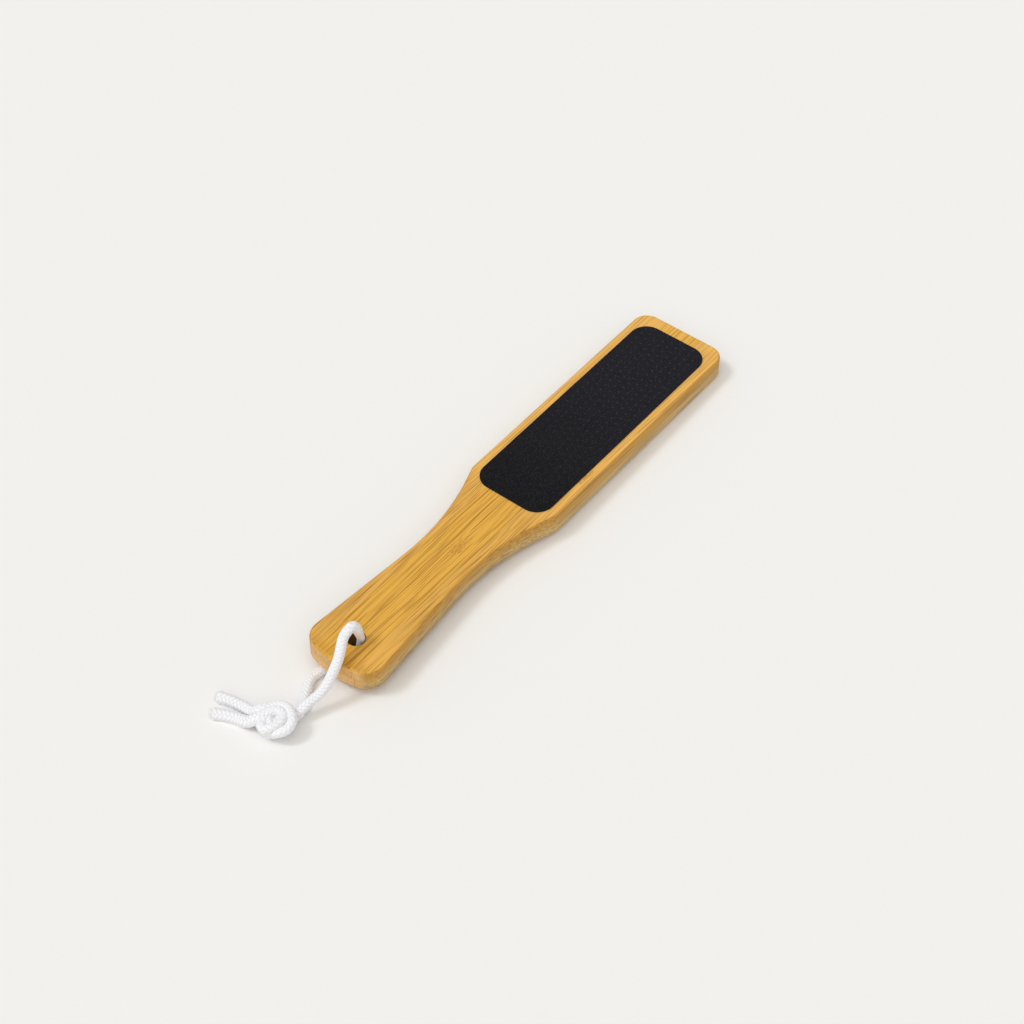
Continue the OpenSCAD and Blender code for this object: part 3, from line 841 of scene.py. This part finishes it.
def grit_material(name, ground, painted_glint):
    """Fine silicon carbide grit in black resin: matt, with grains in cells of a quarter of a millimetre,
    of which a few are painted lighter, as painted glints."""
    material, tree, shader = new_material(
        name, **{"Roughness": 0.7, "IOR": 1.55, "Specular IOR Level": 0.16}
    )
    coord = add(tree, "TexCoord").outputs["Object"]
    grains = add(tree, "TexVoronoi", {"Vector": coord, "Scale": 1 / 0.00024}).outputs
    pick = add(tree, "SeparateColor", {0: grains["Color"]}).outputs[0]
    patch = add(tree, "TexNoise", {"Vector": coord, "Scale": 1100.0, "Detail": 2.0}).outputs["Fac"]
    length_way = add(tree, "SeparateXYZ", {0: coord}).outputs[0]
    # Painted glints on a few grains, uneven patches, and a painted sheen: the pad is nearly black at its
    # handle end and is painted paler steadily until a little past its middle, as a painted reflection
    glint, patchy, painted_sheen = (
        add(
            tree, "MapRange", {"Value": value, "From Min": a, "From Max": b, "To Min": start, "To Max": end}
        ).outputs[0]
        for value, a, b, start, end in (
            (pick, 0.8, 1.0, 0.0, 0.5),
            (patch, 0.3, 0.7, 0.84, 1.16),
            (length_way, -0.006, 0.07, 0.12, 0.96),
        )
    )
    patchy = add(tree, "Math", {0: patchy, 1: painted_sheen}, operation="MULTIPLY").outputs[0]
    dull = add(tree, "VectorMath", {0: tuple(ground), "Scale": patchy}, operation="SCALE").outputs[0]
    tint = add(
        tree, "Mix", {"Factor": glint, "A": dull, "B": (*painted_glint, 1)}, data_type="RGBA"
    ).outputs["Result"]
    tree.links.new(tint, shader.inputs["Base Color"])
    rough = add(tree, "TexNoise", {"Vector": coord, "Scale": 5200.0, "Detail": 2.0}).outputs["Fac"]
    height = add(tree, "Math", {0: grains["Distance"], 1: -1.0}, operation="MULTIPLY").outputs[0]
    height = add(tree, "Math", {0: height, 1: rough}, operation="ADD").outputs[0]
    bump = add(tree, "Bump", {"Height": height, "Strength": 0.8, "Distance": 0.00007}).outputs[0]
    tree.links.new(bump, shader.inputs["Normal"])
    return material


def cut_edge_material(name, tint, roughness, grain):
    """The cut edge of a thin layer: even in colour, with the fine roughness of a stamped cut. grain is
    the roughness's size in millimetres."""
    material, tree, shader = new_material(name, **{"Roughness": roughness, "IOR": 1.5})
    coord = add(tree, "TexCoord").outputs["Object"]
    noise = add(
        tree, "TexNoise", {"Vector": coord, "Scale": 1 / (grain * MM), "Detail": 2.0}
    ).outputs["Fac"]
    light = add(
        tree, "MapRange", {"Value": noise, "From Min": 0.3, "From Max": 0.7, "To Min": 0.75, "To Max": 1.2}
    ).outputs[0]
    shade = add(tree, "VectorMath", {0: tuple(tint), "Scale": light}, operation="SCALE").outputs[0]
    tree.links.new(shade, shader.inputs["Base Color"])
    bump = add(tree, "Bump", {"Height": noise, "Strength": 0.5, "Distance": 0.00004}).outputs[0]
    tree.links.new(bump, shader.inputs["Normal"])
    return material


def yarn_material(name, s):
    """Braided white polyester: soft and slightly translucent, with a faint sheen, filaments that run
    along each stitch, and painted shade in the furrows."""
    material, tree, shader = new_material(name, **{
        "Roughness": 0.72, "IOR": 1.5, "Specular IOR Level": 0.3, "Sheen Weight": 0.25,
        "Sheen Roughness": 0.45, "Subsurface Weight": 0.12, "Subsurface Scale": 0.0012,
        "Subsurface Radius": (1.0, 0.95, 0.9),
    })
    relief, across, along = (
        add(tree, "Attribute", attribute_name=label).outputs["Fac"] for label in ("relief", "across", "along")
    )
    place = add(tree, "CombineXYZ", {0: across, 1: along}).outputs[0]
    place = add(tree, "Mapping", {"Vector": place, "Scale": (13.0, 1.6, 1.0)}).outputs[0]
    filament = add(tree, "TexNoise", {"Vector": place, "Scale": 1.0, "Detail": 2.0}).outputs["Fac"]
    # Painted shade: the yarn is mixed towards the furrow colour where the relief attribute is low
    lit = add(
        tree, "MapRange", {"Value": relief, "From Min": 0.05, "From Max": 0.75},
        interpolation_type="SMOOTHSTEP",
    ).outputs[0]
    white = add(
        tree, "Mix", {"Factor": lit, "A": (*s.painted_furrow_shade, 1), "B": (*s.white, 1)}, data_type="RGBA"
    ).outputs["Result"]
    light = add(
        tree, "MapRange",
        {"Value": filament, "From Min": 0.3, "From Max": 0.7, "To Min": 0.95, "To Max": 1.03},
    ).outputs[0]
    white = add(tree, "VectorMath", {0: white, "Scale": light}, operation="SCALE").outputs[0]
    tree.links.new(white, shader.inputs["Base Color"])
    bump = add(tree, "Bump", {"Height": filament, "Strength": 0.4, "Distance": 0.00008}).outputs[0]
    tree.links.new(bump, shader.inputs["Normal"])
    return material


# Operators


class FOOTFILE_OT_camera(bpy.types.Operator):
    """Adds the camera at the photograph's viewing angle"""

    bl_idname = "footfile.camera"
    bl_label = "Camera"

    def execute(self, context):
        s = context.scene.footfile_studio
        camera = bpy.data.objects.new("camera", bpy.data.cameras.new("camera"))
        context.scene.collection.objects.link(camera)
        camera.data.sensor_width = SENSOR_MM
        camera.data.lens = s.focal / PHOTO_PIXELS * SENSOR_MM
        camera.data.clip_start, camera.data.clip_end = 0.01, 100
        camera.location = s.camera
        camera.rotation_euler = (Vector(s.target) - Vector(s.camera)).to_track_quat("-Z", "Y").to_euler()
        context.scene.camera = camera
        return {"FINISHED"}


class FOOTFILE_OT_cord(bpy.types.Operator):
    """Adds the braided cord: its two runs from the hole through the knot to the cut tails"""

    bl_idname = "footfile.cord"
    bl_label = "Braided cord"

    def execute(self, context):
        cord, paddle = context.scene.footfile_cord, context.scene.footfile_paddle
        _, _, mid = tilt_of(paddle, cord)
        yarn = yarn_material("braided white polyester", cord)
        # Each run: its name, route, last turn and tail, its side of the pair, the degrees it turns in the
        # knot, the nodes it replaces, the share of the furrows left where it is taut, how much thinner it
        # is drawn, and its leans
        runs = (
            ("cord_upper_run", OVER_ROUTE, OVER_TURN, UPPER_TAIL, 1, 480,
             ("cord_over_handle", "cord_tail_upper", "cord_knot"), 0.2, 0.2, OVER_LEANS),
            ("cord_lower_run", UNDER_ROUTE, UNDER_TURN, LOWER_TAIL, -1, 440,
             ("cord_under_handle", "cord_tail_lower"), 1.0, 0.0, UNDER_LEANS),
        )
        for name, way_in, last_turn, way_out, side, turned, nodes, taut, drawn, leans in runs:
            route = np.concatenate([way_in, knot_route(side, turned), last_turn, way_out])
            gone = distance_along(route)
            knot = (gone[len(way_in) - 1], gone[-len(way_out)])
            piece, line, long = braided_cord(name, route, cord, mid, knot, taut, drawn, leans)
            piece.data.materials.append(yarn)
            fibres = frayed_fibres(name + "_frayed_end", line, seed=11 + side)
            fibres.data.materials.append(yarn)
            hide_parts(*nodes)
            for obj in (piece, fibres):
                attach(obj, "cord")
        return {"FINISHED"}


class FOOTFILE_OT_strips(bpy.types.Operator):
    """Adds the six bamboo strips of the paddle"""

    bl_idname = "footfile.strips"
    bl_label = "Bamboo strips"

    def execute(self, context):
        s, cord = context.scene.footfile_paddle, context.scene.footfile_cord
        front_low, back_low = s.front_glue_line - s.front_strip, s.back_glue_line - s.back_strip
        # Each strip's tone, colour, and knuckle as place and half-widths in millimetres, from the left.
        # No line between strips shows on the front, so where its glue lines run is a guess
        layers = (
            ("front", True, front_low, s.front_glue_line, (
                (0.985, s.side_bamboo, None),
                (1.0, s.front_bamboo, ((82.7, -1.7, 11.5), (9, 4.5, 9))),
                (1.01, s.side_bamboo, ((152, -20, 11.5), (8, 3, 9))),
            )),
            ("back", False, back_low, s.back_glue_line, (
                (1.02, s.back_bamboo, ((30, 13, 0), (22, 4, 7))),
                (1.06, s.back_bamboo, ((204, 1, 0), (9, 6, 7))),
                (0.94, s.back_bamboo, None),
            )),
        )
        for layer, front, low, high, looks in layers:
            rings = layer_rings(s, front)
            for k, side in enumerate(("left", "middle", "right")):
                tone, own, knuckle = looks[k]
                if side == "left":
                    plans = [side_plan(s, high / MM, inset) for _, inset in rings]
                elif side == "middle":
                    plans = [middle_plan(s, low / MM, high / MM, inset) for _, inset in rings]
                else:
                    plans = [side_plan(s, -low / MM, inset)[::-1] * [1, -1] for _, inset in rings]
                points, faces = strip_shape(s, plans, rings, side == "middle")
                obj = new_mesh_object(
                    f"{layer}_{side}_bamboo", as_it_lies(s, cord, points), faces, smooth_below=35
                )
                weighted_normals(obj)
                lines = {"left": [high], "middle": [low, high], "right": [low]}[side]
                seed = 3.7 * (k + 1) + (0 if front else 19.3)
                obj.data.materials.append(bamboo_material(
                    f"oiled bamboo, {layer} {side} strip", s, cord, seed, own, tone, lines, knuckle
                ))
                node = f"{layer}_strip_{side}"
                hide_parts(node)
                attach(obj, "paddle")
        return {"FINISHED"}


def rounded_rows(half_length, half_width, corner, rows):
    """Rows across a rectangle with round corners: each row's y and half-length."""
    steps = 26
    y = np.concatenate([
        -half_width + corner * (1 - np.cos(np.linspace(0, math.pi / 2, steps))),
        np.linspace(-half_width + corner, half_width - corner, rows)[1:-1],
        half_width - corner * (1 - np.cos(np.linspace(math.pi / 2, 0, steps))),
    ])
    beyond = np.maximum(np.abs(y) - (half_width - corner), 0)
    return y, half_length - corner + np.sqrt(np.maximum(corner**2 - beyond**2, 0))


def dot_places(s):
    """The dots' places in rows along the pad, every other row shifted by half a pitch, none over its edge."""
    most_rows, most_dots, from_edge = 6, 20, 0.9
    across, along = s.pad_width / 2 / MM, s.pad_length / 2 / MM
    row_pitch, pitch, corner = s.row_pitch / MM, s.dot_pitch / MM, s.corner / MM
    rows, cols = np.arange(-most_rows, most_rows + 1), np.arange(-most_dots, most_dots + 1)
    r, c = np.meshgrid(rows, cols, indexing="ij")
    x, y = ((c + 0.5 * (r % 2)) * pitch).ravel(), (r * row_pitch).ravel()
    into_x, into_y = np.maximum(np.abs(x) - (along - corner), 0), np.maximum(np.abs(y) - (across - corner), 0)
    inside = np.hypot(into_x, into_y) < corner - from_edge
    inside &= (np.abs(x) < along - from_edge) & (np.abs(y) < across - from_edge)
    return x[inside], y[inside]


class FOOTFILE_OT_pad(bpy.types.Operator):
    """Adds the pad's grit coat with its raised dots, and finishes its backing cloth and adhesive film"""

    bl_idname = "footfile.pad"
    bl_label = "Grit pad"

    def execute(self, context):
        scene = context.scene
        s, paddle, cord = scene.footfile_pad, scene.footfile_paddle, scene.footfile_cord
        centre = (paddle.paddle_length - s.margin - s.pad_length / 2) / MM
        board, top, coat, dot = paddle.thickness / MM, s.top / MM, s.coat / MM, s.dot_height / MM
        # The coat is a grid over the pad's outline; its last rows turn down over a small rounding to the
        # cloth. Round each dot it dips, just outside the dot's foot. In millimetres: the rounding, the
        # dip's depth, distance and width, the grains' unevenness, and how much lower the edge lies
        soft, dip, dip_off, dip_wide, grains, lower = 0.1, 0.05, 0.15, 0.25, 0.012, 0.03
        across, along = 96, 401
        y, half = rounded_rows(
            s.pad_length / 2 / MM - soft, s.pad_width / 2 / MM - soft, s.corner / MM - soft, across
        )
        share = np.linspace(-1, 1, along)
        gy, gx = np.repeat(y[:, None], len(share), axis=1), half[:, None] * share[None, :]
        px, py = dot_places(s)
        pitch, row_pitch, reach = s.dot_pitch / MM, s.row_pitch / MM, s.dot_width / 2 / MM
        r = np.rint(gy / row_pitch)
        away = np.full(gx.shape, np.inf)
        for near in (-1, 0, 1):
            row = r + near
            shift = 0.5 * np.mod(row, 2) * pitch
            c = np.rint((gx - shift) / pitch)
            away = np.minimum(away, np.hypot(gx - shift - c * pitch, gy - row * row_pitch))
        rng = np.random.default_rng(5)
        flat = board + top - dot
        gz = flat - dip * np.exp(-((away - reach - dip_off) / dip_wide) ** 2)
        gz = gz + rng.normal(0, grains, gx.shape)
        gz[[0, -1], :] = flat - lower
        gz[:, [0, -1]] = flat - lower
        rows, cols = gx.shape
        points = np.stack([gx + centre, gy, gz], axis=-1).reshape(-1, 3)
        faces = [f[::-1] for f in grid_faces(rows, cols, closed=False)]
        index = np.arange(rows * cols).reshape(rows, cols)
        rim = np.concatenate([index[0, :], index[1:, -1], index[-1, -2::-1], index[-2:0:-1, 0]])
        edge = points[rim]
        out = edge[:, :2] - [centre, 0]
        normal = np.roll(out, -1, axis=0) - np.roll(out, 1, axis=0)
        normal = np.stack([normal[:, 1], -normal[:, 0]], axis=1)
        normal /= np.linalg.norm(normal, axis=1)[:, None]
        low = board + top - coat
        skirts, count = [], len(rim)
        for q in np.linspace(0.25, 1, 4):
            drop = flat - lower - (1 - math.cos(q * math.pi / 2)) * soft
            outward = edge[:, :2] + normal * soft * math.sin(q * math.pi / 2)
            skirts.append(np.column_stack([outward, np.full(count, drop)]))
        skirts.append(np.column_stack([skirts[-1][:, :2], np.full(count, low)]))
        first = len(points)
        points = np.concatenate([points, *skirts])
        ring = first + np.arange(count)
        faces += np.stack([rim, np.roll(rim, -1), np.roll(ring, -1), ring], axis=1)[:, ::-1].tolist()
        faces += [f[::-1] for f in grid_faces(len(skirts), count, first)]
        faces.append([int(i) for i in (first + (len(skirts) - 1) * count + np.arange(count))[::-1]])
        obj = new_mesh_object("pad_grit", as_it_lies(paddle, cord, points), faces, smooth_below=60)
        obj.data.materials.append(grit_material("black silicon carbide grit", s.grit, s.painted_glint))
        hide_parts("pad_grit_coat")
        # Each dot is a low dome: height dot_height (1 - (r / reach)^2), six rings of twelve points round
        # its top. The last ring is sunk into the coat, and a point below closes it
        rings, around, sunk, below = 6, 12, 0.04, -0.05
        a = np.linspace(0, 2 * math.pi, around, endpoint=False)
        dome = [[[0, 0, dot]]]
        for q in np.linspace(0, 1, rings + 1)[1:]:
            z = dot * (1 - q**2) - sunk * (q == 1)
            dome.append(np.stack([reach * q * np.cos(a), reach * q * np.sin(a), np.full(around, z)], axis=1))
        dome = np.concatenate([*dome, [[0, 0, below]]])
        tops = np.stack([px + centre, py, np.full(len(px), flat)], axis=1)
        points = (tops[:, None, :] + dome[None]).reshape(-1, 3)
        k = np.arange(around)
        n = (k + 1) % around
        base = 1 + around * (rings - 1)
        cap = np.stack([np.zeros(around, int), 1 + k, 1 + n], axis=1)
        close = np.stack([np.full(around, len(dome) - 1), base + n, base + k], axis=1)
        triangles = np.concatenate([cap, close])
        quads = np.concatenate([
            np.stack([q + k, q + around + k, q + around + n, q + n], axis=1)
            for q in range(1, base, around)
        ])
        start = (np.arange(len(px)) * len(dome))[:, None, None]
        faces = (start + triangles).reshape(-1, 3).tolist() + (start + quads).reshape(-1, 4).tolist()
        dots = new_mesh_object("pad_raised_dots", as_it_lies(paddle, cord, points), faces, smooth_below=60)
        # Painted highlight: the raised dots get a lighter colour than the coat, as their tops catch the light
        dots.data.materials.append(
            grit_material("black silicon carbide grit, raised dots", s.dot, s.painted_glint)
        )
        for piece in (obj, dots):
            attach(piece, "paddle")
        finishes = {
            "pad_backing_cloth": cut_edge_material("resin-bonded black cloth, cut edge", s.cloth, 0.85, 0.25),
            "pad_adhesive_film": cut_edge_material("acrylic adhesive film", s.glue, 0.4, 0.6),
        }
        for node, finish in finishes.items():
            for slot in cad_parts[node].material_slots:
                slot.material = finish
        return {"FINISHED"}


class FOOTFILE_OT_studio(bpy.types.Operator):
    """Adds the pale table, the window's light and the soft light all round"""

    bl_idname = "footfile.studio"
    bl_label = "Studio"

    def lamp(self, context, name, share, azimuth, height, spread, tint):
        """A wide far light. On the table it gives a share of the light: a sun's strength is pi times the
        light on a surface that is square to it."""
        lamp = bpy.data.lights.new(name, "SUN")
        lamp.energy, lamp.angle, lamp.color = math.pi * share / math.sin(height), spread, tint
        obj = bpy.data.objects.new(name, lamp)
        level = math.cos(height)
        obj.location = (level * math.cos(azimuth), level * math.sin(azimuth), math.sin(height))
        obj.rotation_euler = obj.location.to_track_quat("Z", "Y").to_euler()
        context.scene.collection.objects.link(obj)

    def execute(self, context):
        s = context.scene.footfile_studio
        # The table reaches far beyond the picture and lies 0.05 mm below the cord, in metres
        edge, below = 6.0, -0.00005
        corners = [(-edge, -edge, below), (edge, -edge, below), (edge, edge, below), (-edge, edge, below)]
        table = new_mesh_object("table_top", corners, [[0, 1, 2, 3]])
        material, _, shader = new_material(
            "matt white table top", **{"Roughness": 0.9, "Specular IOR Level": 0.0}
        )
        shader.inputs["Base Color"].default_value = (*s.table, 1)
        table.data.materials.append(material)
        window, wall = (0.97, 1.03, 1.12), (1.0, 0.97, 0.9)
        self.lamp(context, "window", s.key, s.key_azimuth, s.key_height, s.key_spread, window)
        self.lamp(context, "fill light", s.fill, s.fill_azimuth, s.fill_height, s.fill_spread, wall)
        world = bpy.data.worlds.new("room light")
        world.use_nodes = True
        tree = world.node_tree
        tree.nodes.clear()
        sky = add(tree, "Background", {"Color": (1.0, 0.992, 0.962, 1), "Strength": s.sky})
        backdrop = add(tree, "Background", {"Color": (*s.table, 1), "Strength": 1.0})
        seen = add(tree, "LightPath").outputs["Is Camera Ray"]
        mixed = add(tree, "MixShader", {0: seen, 1: sky.outputs[0], 2: backdrop.outputs[0]})
        add(tree, "OutputWorld", {"Surface": mixed.outputs[0]})
        context.scene.world = world
        context.scene.view_settings.view_transform = "Standard"
        return {"FINISHED"}


class FOOTFILE_PT_panel(bpy.types.Panel):
    """Lists the foot file's pieces and their settings"""

    bl_label = "Foot file"
    bl_idname = "FOOTFILE_PT_panel"
    bl_space_type = "VIEW_3D"
    bl_region_type = "UI"
    bl_category = "Foot file"

    def draw(self, context):
        for operator in OPERATORS:
            self.layout.operator(operator.bl_idname)
        for name in SETTINGS:
            group = getattr(context.scene, name)
            box = self.layout.box()
            for key in group.__annotations__:
                box.prop(group, key)


OPERATORS = (
    FOOTFILE_OT_camera, FOOTFILE_OT_cord, FOOTFILE_OT_strips, FOOTFILE_OT_pad, FOOTFILE_OT_studio,
)
SETTINGS = {
    "footfile_paddle": PaddleSettings,
    "footfile_pad": PadSettings,
    "footfile_cord": CordSettings,
    "footfile_studio": StudioSettings,
}


def register():
    for cls in (*SETTINGS.values(), *OPERATORS, FOOTFILE_PT_panel):
        bpy.utils.register_class(cls)
    for name, cls in SETTINGS.items():
        setattr(bpy.types.Scene, name, bpy.props.PointerProperty(type=cls))


def unregister():
    for name in SETTINGS:
        delattr(bpy.types.Scene, name)
    for cls in (FOOTFILE_PT_panel, *OPERATORS[::-1], *list(SETTINGS.values())[::-1]):
        bpy.utils.unregister_class(cls)


def main():
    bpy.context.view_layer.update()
    register()
    bpy.ops.footfile.camera()
    bpy.ops.footfile.cord()
    bpy.ops.footfile.strips()
    bpy.ops.footfile.pad()
    bpy.ops.footfile.studio()
    bpy.context.view_layer.update()


if __name__ == "__main__":
    main()
